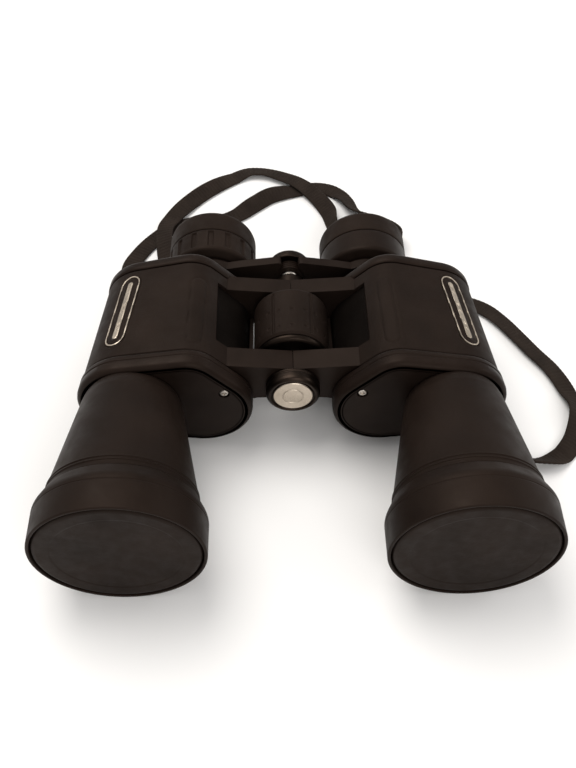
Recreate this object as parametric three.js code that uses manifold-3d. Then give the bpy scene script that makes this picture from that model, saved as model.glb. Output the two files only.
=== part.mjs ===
// Porro-prism binoculars with a neck strap, lying flat on a table.
// Millimetres. X runs across, Y runs from the objectives (-Y) to the eyepieces (+Y), +Z is up.
// The ground is z = 0, and the origin is under the middle of the binoculars.
import * as THREE from 'three';
import { mergeVertices } from 'three/addons/utils/BufferGeometryUtils.js';
import Module from 'manifold-3d';

const wasm = await Module();
wasm.setup();

// ---------------------------------------------------------------- driving dimensions
const GAP = 0.3;                 // between pieces that only touch or slide
const ROUND = 30;                // steps round a large turned piece
const SMALL = 18;                // steps round a small turned piece

const OBJECTIVE = { x: 65, z: 32.5 };     // optical axis of an objective
const EYE = { x: 36, z: 20.5 };           // optical axis of an eyepiece
const HINGE_Z = 31.5;                     // height of the hinge axis, at x = 0

const FRONT = -89;               // objective face
const BACK = 89;                 // eyecup rim
const RING_R = 32.5;             // objective ring
const EYECUP_R = 20.5;
const WHEEL_R = 16;
const KNUCKLE_R = 8.4;           // hinge knuckles, about the hinge axis
const AXLE_R = 6;
const SPINDLE_R = 3.6;
const BARREL_R = 15;             // moving eyepiece barrel

const COVER_FRONT = -18;         // front cover of the prism housing
const ARMOUR_FRONT = -9.5;       // seam between the front cover and the rubber armour
const ARMOUR_BACK = 41;          // seam between the armour and the rear cover
const COVER_BACK = 46.5;
const ARMOUR_T = 1.5;
const WALL = 1.8;

const FRONT_ARM = [-9, 1];       // y range of the front hinge arms
const REAR_ARM = [34.2, 42.4];
const WHEEL = [3, 31.4];
const BRIDGE = [54.3, 58.6];
const BRIDGE_CAP_BACK = 63.6;
const TRAVEL_IN = 2.7;           // focus travel towards the objectives
const TRAVEL_OUT = 5;

// The body section is wrapped round three circles: the prism side, the lobe and the ridge.
// Each is [distance from the middle plane, height, radius].
const SECTION_FRONT = [[66.8, 30, 21], [37.6, 25.5, 20.4], [43, 40.5, 14]];
const SECTION_BACK = [[61.8, 31.3, 18], [35.9, 24, 19.8], [43, 40.2, 13.6]];

// ---------------------------------------------------------------- solids
function solid(geometry) {
  const bare = new THREE.BufferGeometry();
  bare.setAttribute('position', geometry.getAttribute('position'));
  if (geometry.index) bare.setIndex(geometry.index);
  const welded = mergeVertices(bare, 1e-4);
  const position = welded.getAttribute('position');
  const source = welded.index.array;
  const triangles = [];
  let volume = 0;
  const [a, b, c] = [new THREE.Vector3(), new THREE.Vector3(), new THREE.Vector3()];
  for (let i = 0; i < source.length; i += 3) {
    const [p, q, r] = [source[i], source[i + 1], source[i + 2]];
    if (p === q || q === r || r === p) continue;
    triangles.push(p, q, r);
    a.fromBufferAttribute(position, p);
    b.fromBufferAttribute(position, q);
    c.fromBufferAttribute(position, r);
    volume += a.dot(b.cross(c));
  }
  if (volume < 0) triangles.reverse();
  const mesh = new wasm.Mesh({
    numProp: 3,
    vertProperties: new Float32Array(position.array),
    triVerts: new Uint32Array(triangles),
  });
  return new wasm.Manifold(mesh);
}

// A profile of [radius, y] turned about a line along Y.
function turned(profile, centre = { x: 0, z: 0 }, steps = ROUND) {
  const points = profile.map(([r, y]) => new THREE.Vector2(r, y));
  const geometry = new THREE.LatheGeometry(points, steps);
  geometry.translate(centre.x, 0, centre.z);
  return solid(geometry);
}

function rod(centre, radius, y0, y1, steps = SMALL) {
  return turned([[0, y0], [radius, y0], [radius, y1], [0, y1]], centre, steps);
}

function sleeve(centre, outer, inner, y0, y1, steps = ROUND) {
  return turned([[inner, y0], [outer, y0], [outer, y1], [inner, y1], [inner, y0]], centre, steps);
}

function box(x0, x1, y0, y1, z0, z1) {
  const geometry = new THREE.BoxGeometry(x1 - x0, y1 - y0, z1 - z0);
  geometry.translate((x0 + x1) / 2, (y0 + y1) / 2, (z0 + z1) / 2);
  return solid(geometry);
}

// A closed skin over rings of points that all have the same count and a convex outline.
function skin(rings) {
  const count = rings[0].length;
  const positions = rings.flat().flatMap((p) => [p.x, p.y, p.z]);
  const index = [];
  for (let i = 0; i + 1 < rings.length; i += 1) {
    for (let j = 0; j < count; j += 1) {
      const here = i * count + j;
      const beside = i * count + ((j + 1) % count);
      index.push(here, beside, here + count, beside, beside + count, here + count);
    }
  }
  const last = (rings.length - 1) * count;
  for (let j = 1; j + 1 < count; j += 1) {
    index.push(0, j + 1, j, last, last + j, last + j + 1);
  }
  const geometry = new THREE.BufferGeometry();
  geometry.setAttribute('position', new THREE.Float32BufferAttribute(positions, 3));
  geometry.setIndex(index);
  return solid(geometry);
}

// The belt round a set of circles at one y: for each direction, the circle that reaches furthest.
function belt(circles, side, y, grow, count = 30) {
  const ring = [];
  for (let i = 0; i < count; i += 1) {
    const angle = (2 * Math.PI * i) / count;
    const [dx, dz] = [Math.cos(angle), Math.sin(angle)];
    let best = null;
    for (const [x, z, r] of circles) {
      const reach = x * dx + z * dz + r + grow;
      if (!best || reach > best.reach) best = { reach, x, z, r: r + grow };
    }
    ring.push(new THREE.Vector3(side * (best.x + best.r * dx), y, best.z + best.r * dz));
  }
  return ring;
}

// The body's belt at a given y, between the front and the back sections.
function bodyRing(side, y, grow) {
  const t = (y - COVER_FRONT) / (COVER_BACK - COVER_FRONT);
  const circles = SECTION_FRONT.map((c, i) => c.map((v, k) => v + (SECTION_BACK[i][k] - v) * t));
  return belt(circles, side, y, grow);
}

function bodySkin(side, stations) {
  return skin(stations.map(([y, grow]) => bodyRing(side, y, grow)));
}

// A flat outline in X and Z, with x measured outwards from the middle plane, made thick along Y.
function slab(outline, side, y0, y1, lift = 0) {
  const shape = new THREE.Shape(outline.map(([x, z]) => new THREE.Vector2(side * x, z + lift)));
  const geometry = new THREE.ExtrudeGeometry(shape, { depth: y1 - y0, bevelEnabled: false });
  geometry.rotateX(Math.PI / 2);
  geometry.translate(0, y1, 0);
  return solid(geometry);
}

function joined(...parts) {
  return parts.reduce((sum, part) => sum.add(part));
}

function cut(body, ...tools) {
  return tools.reduce((rest, tool) => rest.subtract(tool), body);
}

// ---------------------------------------------------------------- materials
const MATERIAL = {
  body_paint: { color: '#2b2623', roughness: 0.55, metalness: 0.1 },
  rubber: { color: '#28231f', roughness: 0.85, metalness: 0 },
  bright_metal: { color: '#b3a48f', roughness: 0.35, metalness: 0.9 },
  dark_metal: { color: '#3a332d', roughness: 0.4, metalness: 0.8 },
  badge: { color: '#b0a18b', roughness: 0.4, metalness: 0.6 },
  glass: { color: '#5b6f7a', roughness: 0.05, metalness: 0 },
  brass: { color: '#a68a4f', roughness: 0.35, metalness: 0.9 },
  cap_plastic: { color: '#26211e', roughness: 0.7, metalness: 0 },
  webbing: { color: '#332c28', roughness: 0.95, metalness: 0 },
};

const object = new THREE.Group();
object.name = 'astronomy_binoculars';

function add(name, shape, material) {
  const result = shape.getMesh();
  const geometry = new THREE.BufferGeometry();
  const count = result.vertProperties.length / result.numProp;
  const positions = new Float32Array(count * 3);
  for (let i = 0; i < count; i += 1) {
    for (let k = 0; k < 3; k += 1) {
      positions[3 * i + k] = result.vertProperties[result.numProp * i + k];
    }
  }
  geometry.setAttribute('position', new THREE.BufferAttribute(positions, 3));
  geometry.setIndex(new THREE.BufferAttribute(new Uint32Array(result.triVerts), 1));
  const { color, roughness, metalness } = MATERIAL[material];
  const look = new THREE.MeshStandardMaterial({ color, roughness, metalness });
  const mesh = new THREE.Mesh(geometry, look);
  mesh.name = name;
  object.add(mesh);
}

// The flared collar behind the bridge: the dioptre ring on the left, part of the barrel on the right.
const COLLAR = [
  [BARREL_R + GAP, 62.4], [16.4, 62.4], [19.6, 63.6], [EYECUP_R, 64.8], [EYECUP_R, 76.5],
];

// ---------------------------------------------------------------- hinge arms
const ARM_OUTLINE = [
  [0.15, 9.9], [9, 10.6], [22, 11.6], [35, 12.9], [35, -12], [24, -12], [16, -8.8], [10, -8.4], [5, -7.6],
  [0.15, -7.4],
];

function armBlank(side, [y0, y1], grow) {
  const outline = ARM_OUTLINE.map(([x, z]) => [x, z + Math.sign(z) * grow]);
  return slab(outline, side, y0 - grow, y1 + grow, HINGE_Z);
}

// One hinge arm. The left half's knuckle takes the front of the arm's depth, the right half's the rear.
function arm(side, [y0, y1]) {
  const middle = (y0 + y1) / 2;
  const own = side < 0 ? [y0, middle - GAP / 2] : [middle + GAP / 2, y1];
  const other = side < 0 ? [middle - GAP / 2, y1 + 1] : [y0 - 1, middle + GAP / 2];
  const hinge = { x: 0, z: HINGE_Z };
  const blank = cut(armBlank(side, [y0, y1], 0), rod(hinge, KNUCKLE_R + GAP, other[0], other[1]));
  const knuckle = rod(hinge, KNUCKLE_R, own[0], own[1]);
  return cut(joined(blank, knuckle), rod(hinge, AXLE_R + GAP, y0 - 1, y1 + 1));
}

// ---------------------------------------------------------------- prisms
// The light steps sideways twice. The rear prism carries it from the objective axis to the
// crossing point, and the front prism from there to the eyepiece axis.
const OFFSET = new THREE.Vector2(EYE.x - OBJECTIVE.x, EYE.z - OBJECTIVE.z);
const STEP = OFFSET.length() / Math.SQRT2;
const STEP_ANGLE = OFFSET.angle() - Math.PI / 4 - Math.PI;
const CROSSING = {
  x: OBJECTIVE.x - STEP * Math.cos(STEP_ANGLE),
  z: OBJECTIVE.z - STEP * Math.sin(STEP_ANGLE),
};
const PRISM = { half: 18.5, width: 16.5, rearFace: 16, frontFace: 13 };

// A right-angle prism on its long face, with rounded ends, between two light paths.
function prism(side, from, to, face, direction) {
  const { half, width } = PRISM;
  const shape = new THREE.Shape();
  shape.moveTo(-half, 0);
  shape.lineTo(half, 0);
  shape.lineTo(half, 1.5);
  shape.lineTo(1.5, half);
  shape.lineTo(-1.5, half);
  shape.lineTo(-half, 1.5);
  const wedge = new THREE.ExtrudeGeometry(shape, { depth: width, bevelEnabled: false });
  wedge.translate(0, 0, -width / 2);
  const ends = new THREE.Shape();
  ends.absarc(half - width / 2, 0, width / 2, -Math.PI / 2, Math.PI / 2, false);
  ends.absarc(width / 2 - half, 0, width / 2, Math.PI / 2, Math.PI * 1.5, false);
  const stadium = new THREE.ExtrudeGeometry(ends, { depth: half + 2, bevelEnabled: false, curveSegments: 6 });
  stadium.rotateX(-Math.PI / 2);
  stadium.translate(0, -1, 0);
  const block = solid(wedge).intersect(solid(stadium));
  const angle = Math.atan2(to.z - from.z, side * (to.x - from.x));
  const turn = [90 - 90 * direction, (-angle * 180) / Math.PI, 0];
  return block
    .rotate([turn[0], 0, 0])
    .rotate([0, turn[1], 0])
    .translate([(side * (from.x + to.x)) / 2, face, (from.z + to.z) / 2]);
}

// ---------------------------------------------------------------- one half of the body
// Between the hinge arms the casting is bare below the ridge, where the armour ends.
const BARE_FLANK = { x: 31.5, z: [26, 60] };

function half(side, word) {
  const tube = { x: side * OBJECTIVE.x, z: OBJECTIVE.z };
  const eye = { x: side * EYE.x, z: EYE.z };
  const crossing = { x: side * CROSSING.x, z: CROSSING.z };

  // Prism housing: a thin casting open at both ends, with a front and a rear hinge arm.
  const inner = ARMOUR_T + GAP + WALL;
  const cavity = bodySkin(side, [[-20, -inner], [50, -inner]]);
  const casting = bodySkin(side, [
    [ARMOUR_FRONT + GAP, -ARMOUR_T - GAP],
    [REAR_ARM[1], -ARMOUR_T - GAP],
  ]);
  const arms = joined(arm(side, FRONT_ARM), arm(side, REAR_ARM));
  add(`${word}_housing`, cut(joined(casting, arms), cavity, lugBlock(side, GAP)), 'body_paint');

  // Rubber armour, with a shallow oblong thumb panel and a recess for the badge.
  const armGaps = [armBlank(side, FRONT_ARM, GAP), armBlank(side, REAR_ARM, GAP)];
  const armourOuter = bodySkin(side, [[ARMOUR_FRONT, 0], [ARMOUR_BACK - GAP, 0]]);
  const armourInner = bodySkin(side, [[-20, -ARMOUR_T], [50, -ARMOUR_T]]);
  const badgeTool = badgeBlock(side, GAP);
  const badgeFloor = bodySkin(side, [[-20, -0.9], [50, -0.9]]);
  const recess = cut(badgeTool, badgeFloor);
  const lugGap = lugBlock(side, GAP);
  const bareFlank = flankBox(side, [0, BARE_FLANK.x], [FRONT_ARM[1], REAR_ARM[0]], BARE_FLANK.z);
  add(`${word}_armour`, cut(armourOuter, armourInner, ...armGaps, recess, lugGap, bareFlank), 'rubber');
  const badgeTop = bodySkin(side, [[-20, 0.3], [50, 0.3]]);
  const badgeBase = bodySkin(side, [[-20, -0.6], [50, -0.6]]);
  add(`${word}_badge`, cut(badgeBlock(side, 0).intersect(badgeTop), badgeBase), 'badge');

  // Front cover: a cup round the front of the housing, holding the neck of the objective tube.
  const coverOuter = bodySkin(side, [
    [COVER_FRONT, -1.2],
    [COVER_FRONT + 1.4, 0.5],
    [ARMOUR_FRONT - 1.2, 0.6],
    [ARMOUR_FRONT - GAP, 0],
  ]);
  const coverCavity = bodySkin(side, [[COVER_FRONT + 2.4, -inner], [0, -inner]]);
  const screwAt = { x: side * 28.1, z: 36.4 };
  add(
    `${word}_front_cover`,
    cut(coverOuter, coverCavity, rod(tube, 17.3, -30, 0, ROUND), rod(screwAt, 2.3, -20, -15)),
    'body_paint',
  );
  const slot = box(screwAt.x - 1.6, screwAt.x + 1.6, -20, -17, screwAt.z - 0.3, screwAt.z + 0.3);
  const screw = cut(rod(screwAt, 1.9, COVER_FRONT + 0.4, -15.9, 12), slot);
  add(`${word}_cover_screw`, screw, 'bright_metal');

  // Rear cover, with a bore for the fixed eyepiece tube.
  const rearOuter = bodySkin(side, [
    [ARMOUR_BACK, 0],
    [ARMOUR_BACK + 0.8, 0.5],
    [COVER_BACK - 1.4, 0.4],
    [COVER_BACK, -1.2],
  ]);
  const rearCavity = bodySkin(side, [[30, -ARMOUR_T], [REAR_ARM[1] + GAP, -ARMOUR_T]]);
  add(
    `${word}_rear_cover`,
    cut(rearOuter, rearCavity, armGaps[1], rod(eye, 13.3, 30, 60, ROUND), lugGap),
    'body_paint',
  );
  add(`${word}_eyepiece_guide`, sleeve(eye, 13, 11.6, REAR_ARM[1] + 2 * GAP, 60), 'bright_metal');

  // Strap lug: a flat bracket with a slot, let into the side of the housing.
  add(`${word}_strap_lug`, lugSolid(side), 'dark_metal');

  // Prisms on a shelf with three windows.
  const shelf = bodySkin(side, [[-20, -inner - GAP], [50, -inner - GAP]]).intersect(
    box(-100, 100, PRISM.frontFace + GAP, PRISM.rearFace - GAP, 0, 100),
  );
  const windows = [tube, crossing, eye].map((at) => rod(at, 7.6, 10, 20));
  add(`${word}_prism_shelf`, cut(shelf, ...windows), 'dark_metal');
  add(`${word}_rear_prism`, prism(side, OBJECTIVE, CROSSING, PRISM.rearFace, 1), 'glass');
  add(`${word}_front_prism`, prism(side, CROSSING, EYE, PRISM.frontFace, -1), 'glass');

  // Objective tube: a neck in the front cover, a long flare, and the seat for the lens.
  add(
    `${word}_objective_tube`,
    turned([
      [15.4, -14.5], [17, -14.5], [17, COVER_FRONT - GAP], [18.6, COVER_FRONT - GAP], [20.2, -23],
      [29.1, -68.7], [27.2, -68.7], [27.2, -85.4], [25.9, -85.4], [25.9, -76], [24.6, -76], [24.6, -70],
      [15.4, -20], [15.4, -14.5],
    ], tube),
    'body_paint',
  );
  add(
    `${word}_objective_ring`,
    turned([
      [27.5, -69], [29.6, -69], [RING_R, -73.6], [RING_R, FRONT + 0.8], [RING_R - 0.8, FRONT], [31.2, FRONT],
      [31.2, -85.8], [29.2, -85.8], [29.2, -83], [27.5, -83],
      [27.5, -69],
    ], tube),
    'body_paint',
  );
  add(
    `${word}_objective_doublet`,
    turned([
      [0, -83.8], [13, -83.2], [25.5, -80.8], [25.5, -76.3], [13, -76.6], [0, -76.9],
    ], tube),
    'glass',
  );
  add(`${word}_lens_retainer`, sleeve(tube, 25.6, 24.4, -85.2, -81.2), 'dark_metal');

  // Objective cap: a disc flush with the ring, on a short skirt round the tube's end.
  add(
    `${word}_objective_cap`,
    turned([
      [0, FRONT], [29.6, FRONT], [30.8, FRONT + 1.2], [30.8, -86.2], [28.9, -86.2],
      [28.9, -83.4], [27.6, -83.4], [27.6, -86.2], [0, -86.2],
    ], tube),
    'cap_plastic',
  );

  // Moving eyepiece: barrel with both lenses' seats, field lens, inner cell with the eye lens.
  const barrel = turned([
    [13.3, 51], [BARREL_R - 0.6, 51], [BARREL_R, 51.6], [BARREL_R, 75.6], [12, 75.6], [12, 68.6],
    [12.9, 68.6], [12.9, 64.4], [13.3, 64.4], [13.3, 51],
  ], eye);
  const flared = turned([...COLLAR, [BARREL_R - 1, 76.5], [BARREL_R - 1, 62.4], COLLAR[0]], eye);
  add(`${word}_eyepiece_barrel`, side < 0 ? barrel : joined(barrel, flared), 'dark_metal');
  add(
    `${word}_field_lens`,
    turned([[0, 64.2], [7, 64.6], [12.7, 65.6], [12.7, 67.6], [0, 67.6]], eye, SMALL),
    'glass',
  );
  add(`${word}_ocular_cell`, sleeve(eye, 11.6, 10, 70, 83.4, SMALL), 'dark_metal');
  add(
    `${word}_eye_lens`,
    turned([[0, 77.6], [5, 78], [9.7, 79.4], [9.7, 81.4], [5, 82.1], [0, 82.4]], eye, SMALL),
    'glass',
  );
  add(
    `${word}_eyecup`,
    turned([
      [12.2, 76.9], [EYECUP_R, 76.9], [EYECUP_R, BACK - 1.4], [EYECUP_R - 1.2, BACK], [18, BACK],
      [17.2, 80.4], [12.2, 79.4], [12.2, 76.9],
    ], eye),
    'rubber',
  );
}

// The badge lies on the upper outer flank: a stadium outline along Y, pushed along the flank's normal.
function badgeBlock(side, grow) {
  const [length, width, tilt] = [40 + 2 * grow, 10 + 2 * grow, 33];
  const shape = new THREE.Shape();
  const reach = (length - width) / 2;
  shape.absarc(0, reach, width / 2, 0, Math.PI, false);
  shape.absarc(0, -reach, width / 2, Math.PI, 2 * Math.PI, false);
  const geometry = new THREE.ExtrudeGeometry(shape, { depth: 14, bevelEnabled: false, curveSegments: 6 });
  return solid(geometry)
    .translate([0, 0, 8])
    .rotate([0, side * tilt, side * 5.5])
    .translate([side * 60.2, 17, 31]);
}

// ---------------------------------------------------------------- strap lugs
const LUG = { y: [32.7, 45.3], x: 70.5, outer: 82.6, z: 16, thick: 2, slot: [76, 80.7] };

function flankBox(side, [x0, x1], [y0, y1], [z0, z1]) {
  return box(Math.min(side * x0, side * x1), Math.max(side * x0, side * x1), y0, y1, z0, z1);
}

function lugBlock(side, grow) {
  return flankBox(
    side,
    [LUG.x - grow, LUG.outer + grow],
    [LUG.y[0] - grow, LUG.y[1] + grow],
    [LUG.z - grow, LUG.z + LUG.thick + grow],
  );
}

function lugSolid(side) {
  return cut(lugBlock(side, 0), flankBox(side, LUG.slot, [LUG.y[0] + 1, LUG.y[1] - 1], [0, 60]));
}

half(-1, 'left');
half(1, 'right');

// ---------------------------------------------------------------- hinge and focusing
const hinge = { x: 0, z: HINGE_Z };
const axleSlot = box(-1.3, 1.3, 22 - TRAVEL_IN - 1.4, 22 + TRAVEL_OUT + 1.4, HINGE_Z - 9, HINGE_Z + 9);
const axle = turned([
  [5.1, -8.7], [AXLE_R, -8.7], [AXLE_R, 43], [4, 43], [4, 3], [3.4, 2], [3.4, -0.4], [5.1, -0.4], [5.1, -8.7],
], hinge, 24);
add('hinge_axle', cut(axle, axleSlot), 'bright_metal');
add('tripod_socket', sleeve(hinge, 4.8, 3.2, -8.7, -0.8, SMALL), 'brass');

add(
  'hinge_front_cap',
  turned([
    [0, -15.4], [8.2, -15.4], [8.7, -14.9], [9.8, -15.2], [11.2, -13.8], [11.2, -9.8], [10.6, -9.3], [2.9, -9.3],
    [2.9, -2], [0, -2],
  ], hinge, 24),
  'dark_metal',
);
add(
  'hinge_rear_nut',
  turned([
    [4, 43.3], [6.3, 43.3], [6.3, 49.9], [5.9, 50.9], [5, 51.3], [4, 51.3], [4, 43.3],
  ], hinge, SMALL),
  'dark_metal',
);

// Focus wheel: a core that turns on the axle, with a groove for the drive pin, and a rubber tyre.
add(
  'focus_wheel_core',
  turned([
    [AXLE_R + GAP, WHEEL[0]], [14.2, WHEEL[0]], [15, WHEEL[0] + 0.8], [15, WHEEL[0] + 2.2], [12.4, WHEEL[0] + 2.2],
    [12.4, WHEEL[1]], [AXLE_R + GAP, WHEEL[1]], [AXLE_R + GAP, 29.8], [9.3, 29.8], [9.3, 15.6],
    [AXLE_R + GAP, 15.6], [AXLE_R + GAP, WHEEL[0]],
  ], hinge),
  'bright_metal',
);
const PADS = 6;
const tyreBlank = turned([
  [12.7, WHEEL[0] + 2.6], [15.2, WHEEL[0] + 2.6], [WHEEL_R, WHEEL[0] + 3.6], [WHEEL_R, WHEEL[1] - 0.8],
  [15.2, WHEEL[1]], [12.7, WHEEL[1]], [12.7, WHEEL[0] + 2.6],
], hinge, 36);
const grooves = [];
for (let i = 0; i < PADS; i += 1) {
  const groove = box(-0.6, 0.6, WHEEL[0] + 5, WHEEL[1] - 2.4, 15.2, 18);
  grooves.push(groove.rotate([0, ((i + 0.5) * 360) / PADS, 0]).translate([0, 0, HINGE_Z]));
}
add('focus_wheel_tyre', cut(tyreBlank, ...grooves), 'rubber');

// Spindle: slides in the axle, pushed by a pin through the axle's slots, and carries the bridge.
const KNUCKLE_T = (BRIDGE[1] - BRIDGE[0] - 3 * GAP) / 4;
const pin = solid(new THREE.CylinderGeometry(1, 1, 17.6, 12)).rotate([90, 0, 0]).translate([0, 22, HINGE_Z]);
add(
  'focus_spindle',
  joined(
    turned([[0, 12], [SPINDLE_R - 0.6, 12], [SPINDLE_R, 12.6], [SPINDLE_R, 61.6], [0, 61.6]], hinge, SMALL),
    pin,
  ),
  'bright_metal',
);
add(
  'bridge_end_cap',
  turned([
    [3.9, BRIDGE[1] + GAP], [9.3, BRIDGE[1] + GAP], [9.3, BRIDGE_CAP_BACK - 1.6], [8.6, BRIDGE_CAP_BACK - 0.6],
    [5, BRIDGE_CAP_BACK], [0, BRIDGE_CAP_BACK], [0, 61.9], [3.9, 61.9], [3.9, BRIDGE[1] + GAP],
  ], hinge, 24),
  'dark_metal',
);

// Bridge: two arms that share the spindle through interleaved knuckles, each round one barrel.
const BRIDGE_OUTLINE = [
  [3.75, 9], [12, 7.8], [22, 6.4], [32, 4.4], [32, -9], [22, -6], [12, -3.2], [3.75, -5],
];
function bridge(side, word) {
  const eye = { x: side * EYE.x, z: EYE.z };
  let shape = slab(BRIDGE_OUTLINE, side, BRIDGE[0], BRIDGE[1], HINGE_Z);
  shape = cut(shape, rod(hinge, 6.6, BRIDGE[0] - 1, BRIDGE[1] + 1));
  for (let i = 0; i < 4; i += 1) {
    const mine = side < 0 ? i % 2 === 0 : i % 2 === 1;
    const y0 = BRIDGE[0] + i * (KNUCKLE_T + GAP);
    if (mine) {
      const neck = [[0, 3], [5, 4.5], [5, -3], [0, -3]];
      const knuckle = joined(rod(hinge, 6.3, y0, y0 + KNUCKLE_T), slab(
        neck.map(([x, z]) => [x + 2.5, z]), side, y0, y0 + KNUCKLE_T, HINGE_Z));
      shape = joined(shape, knuckle);
    }
  }
  shape = joined(shape, rod(eye, 18, BRIDGE[0], BRIDGE[1], ROUND));
  return cut(shape, rod(hinge, SPINDLE_R + GAP, 40, 70), rod(eye, BARREL_R + GAP, 40, 70, ROUND));
}
add('bridge_left_arm', bridge(-1, 'left'), 'body_paint');
add('bridge_right_arm', bridge(1, 'right'), 'body_paint');

// Dioptre ring behind the bridge, with broad ribs, turning on the left barrel.
const notches = [];
const RIBS = 16;
for (let i = 0; i < RIBS; i += 1) {
  const notch = box(-1.3, 1.3, 65.6, 75, 19.5, 23);
  notches.push(notch.rotate([0, (i * 360) / RIBS, 0]).translate([-EYE.x, 0, EYE.z]));
}
const ring = turned([...COLLAR, [BARREL_R + GAP, 76.5], [BARREL_R + GAP, 62.4]], { x: -EYE.x, z: EYE.z });
add('dioptre_ring', cut(ring, ...notches), 'rubber');

// ---------------------------------------------------------------- neck strap
const STRAP = { width: 9, thick: 1.4 };

// A flat band along a route of [x, y, lift, roll] points. Roll tips the band about its run, in
// degrees, and lift is the height of the band's lower edge.
function band(route, steps) {
  const edge = (roll) => {
    const turn = THREE.MathUtils.degToRad(roll);
    return (STRAP.width * Math.abs(Math.sin(turn)) + STRAP.thick * Math.abs(Math.cos(turn))) / 2;
  };
  const places = route.map(([x, y, lift, roll]) => new THREE.Vector3(x, y, lift + edge(roll)));
  const curve = new THREE.CatmullRomCurve3(places, false, 'centripetal');
  const up = new THREE.Vector3(0, 0, 1);
  const rings = [];
  for (let i = 0; i <= steps; i += 1) {
    const t = i / steps;
    const along = curve.getTangent(t);
    const level = new THREE.Vector3().crossVectors(up, along).normalize();
    const rise = new THREE.Vector3().crossVectors(along, level);
    const place = t * (route.length - 1);
    const from = Math.min(Math.floor(place), route.length - 2);
    const roll = THREE.MathUtils.lerp(route[from][3], route[from + 1][3], place - from);
    const turn = THREE.MathUtils.degToRad(roll);
    const wide = level.clone().multiplyScalar(Math.cos(turn)).addScaledVector(rise, Math.sin(turn));
    const deep = level.clone().multiplyScalar(-Math.sin(turn)).addScaledVector(rise, Math.cos(turn));
    const [w, h] = [STRAP.width / 2, STRAP.thick / 2];
    const half = [[w, h / 2], [w - h, h], [h - w, h], [-w, h / 2]];
    const section = [...half, ...half.map(([a, b]) => [-a, -b])];
    const at = curve.getPoint(t);
    rings.push(section.map(([a, b]) => at.clone().addScaledVector(wide, a).addScaledVector(deep, b)));
  }
  return skin(rings);
}

// The end of the strap: a loop round the lug's bar, with a long leg that runs down and in under the
// body and a short one stitched to it.
const END = { inner: 1.9, leg: 12, tail: 8, y: (LUG.y[0] + LUG.y[1]) / 2 };
END.outer = END.inner + STRAP.thick;
const TILT = 33;

function strapEnd(side) {
  const shape = new THREE.Shape();
  shape.moveTo(END.outer, -END.leg);
  shape.lineTo(END.outer, 0);
  shape.absarc(0, 0, END.outer, 0, Math.PI, false);
  shape.lineTo(-END.outer + 1.2, -END.tail);
  shape.lineTo(-END.inner + 1.2, -END.tail);
  shape.lineTo(-END.inner, 0);
  shape.absarc(0, 0, END.inner, Math.PI, 0, true);
  shape.lineTo(END.inner, -END.leg);
  const options = { depth: STRAP.width, bevelEnabled: false, curveSegments: 8 };
  const loop = solid(new THREE.ExtrudeGeometry(shape, options)).rotate([90, 0, 0]);
  const turned = loop.translate([0, STRAP.width / 2, 0]).rotate([0, TILT, 0]);
  const placed = side < 0 ? turned.mirror([1, 0, 0]) : turned;
  return placed.translate([side * (LUG.slot[1] + LUG.outer) / 2, END.y, LUG.z + 1.4]);
}

for (const [side, word] of [[-1, 'left'], [1, 'right']]) {
  add(`${word}_strap_end`, strapEnd(side), 'webbing');
}

// From the left lug, behind the eyepieces, round the loop and back, under the body, to the right lug.
const LEFT_RUN = [
  [-77, 39, 4.8, 0], [-73, 39, 1.8, 0], [-68.5, 39.8, 0.4, 0], [-64.5, 44, 0.2, 0], [-63, 53, 0.2, 0],
  [-65.5, 64, 0.2, 0], [-71.5, 75, 0.2, 0], [-77.5, 84, 0.2, 0], [-78.5, 93, 0.2, 0], [-74.5, 103, 0.2, 0],
  [-68.5, 112.5, 0.2, 0], [-60.5, 121, 0.2, 0], [-50, 126, 0.2, 0], [-38, 127, 0.2, 0], [-26, 131.5, 0.2, 8],
  [-16, 138.5, 0.2, 40], [-7, 146.5, 0.2, 30], [8, 153, 0.2, 0], [19, 155, 0.2, 0], [28, 151, 0.2, 0],
  [33, 144, 0.2, -20], [36.5, 135, 0.2, -35], [44, 128, 0.2, -55], [52.5, 122.5, 0.2, -70],
];
const LOOP_RUN = [
  [53.3, 121.9, 0.2, -71], [59.5, 113, 0.2, -88], [56, 102.8, 0.2, -90], [45.5, 98.3, 0.2, -90],
  [34.5, 101.5, 0.2, -90], [27.5, 110.5, 0.2, -80], [24.5, 122, 0.2, -60], [23, 133, 0.2, -35],
  [17.5, 145, 1.1, -12], [9, 155.5, 2.6, 0], [-2, 164, 0.8, 8], [-10, 167.4, 0.2, 15], [-16, 168, 0.2, 15],
];
const LONG_RUN = [
  [-17.4, 168, 0.2, 15], [-20, 167.5, 0.2, 12], [-27, 163.5, 0.2, 0], [-38, 154.5, 0.2, -20],
  [-48.5, 143.5, 0.2, -25], [-57, 132, 1.5, -8], [-62, 120.5, 2.9, 8], [-62.6, 110, 2.4, 22], [-61, 97, 0.4, 25],
  [-57, 84, 0.2, 0], [-51.5, 58, 0.2, 0],
  [-42, 36, 0.2, 0], [-20, 22, 0.2, 0], [8, 15, 0.2, 0], [34, 9, 0.2, 0], [58, -5, 0.2, 0], [80, -20, 0.2, 0],
  [98, -28.5, 0.2, -50], [108, -28.8, 0.2, -40], [114, -26.5, 0.2, -15], [119.3, -22.3, 0.2, 5],
  [125, -13.5, 0.2, 10], [127.6, -1, 0.2, 35], [126.2, 11, 0.2, 12], [121.8, 23.6, 0.2, 12],
  [114.9, 34.8, 0.2, 12], [108.7, 45.6, 0.2, 12], [103, 54.8, 0.2, 10], [96.5, 62.5, 0.2, 5], [88, 67, 0.2, 0],
  [78, 67, 0.2, 0], [69, 62, 0.2, 0], [64, 53, 0.2, 0], [64.5, 44.5, 0.2, 0], [68.5, 39.8, 0.4, 0],
  [73, 39, 1.8, 0], [77, 39, 4.8, 0],
];
add('strap_left_run', band(LEFT_RUN, 52), 'webbing');
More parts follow.
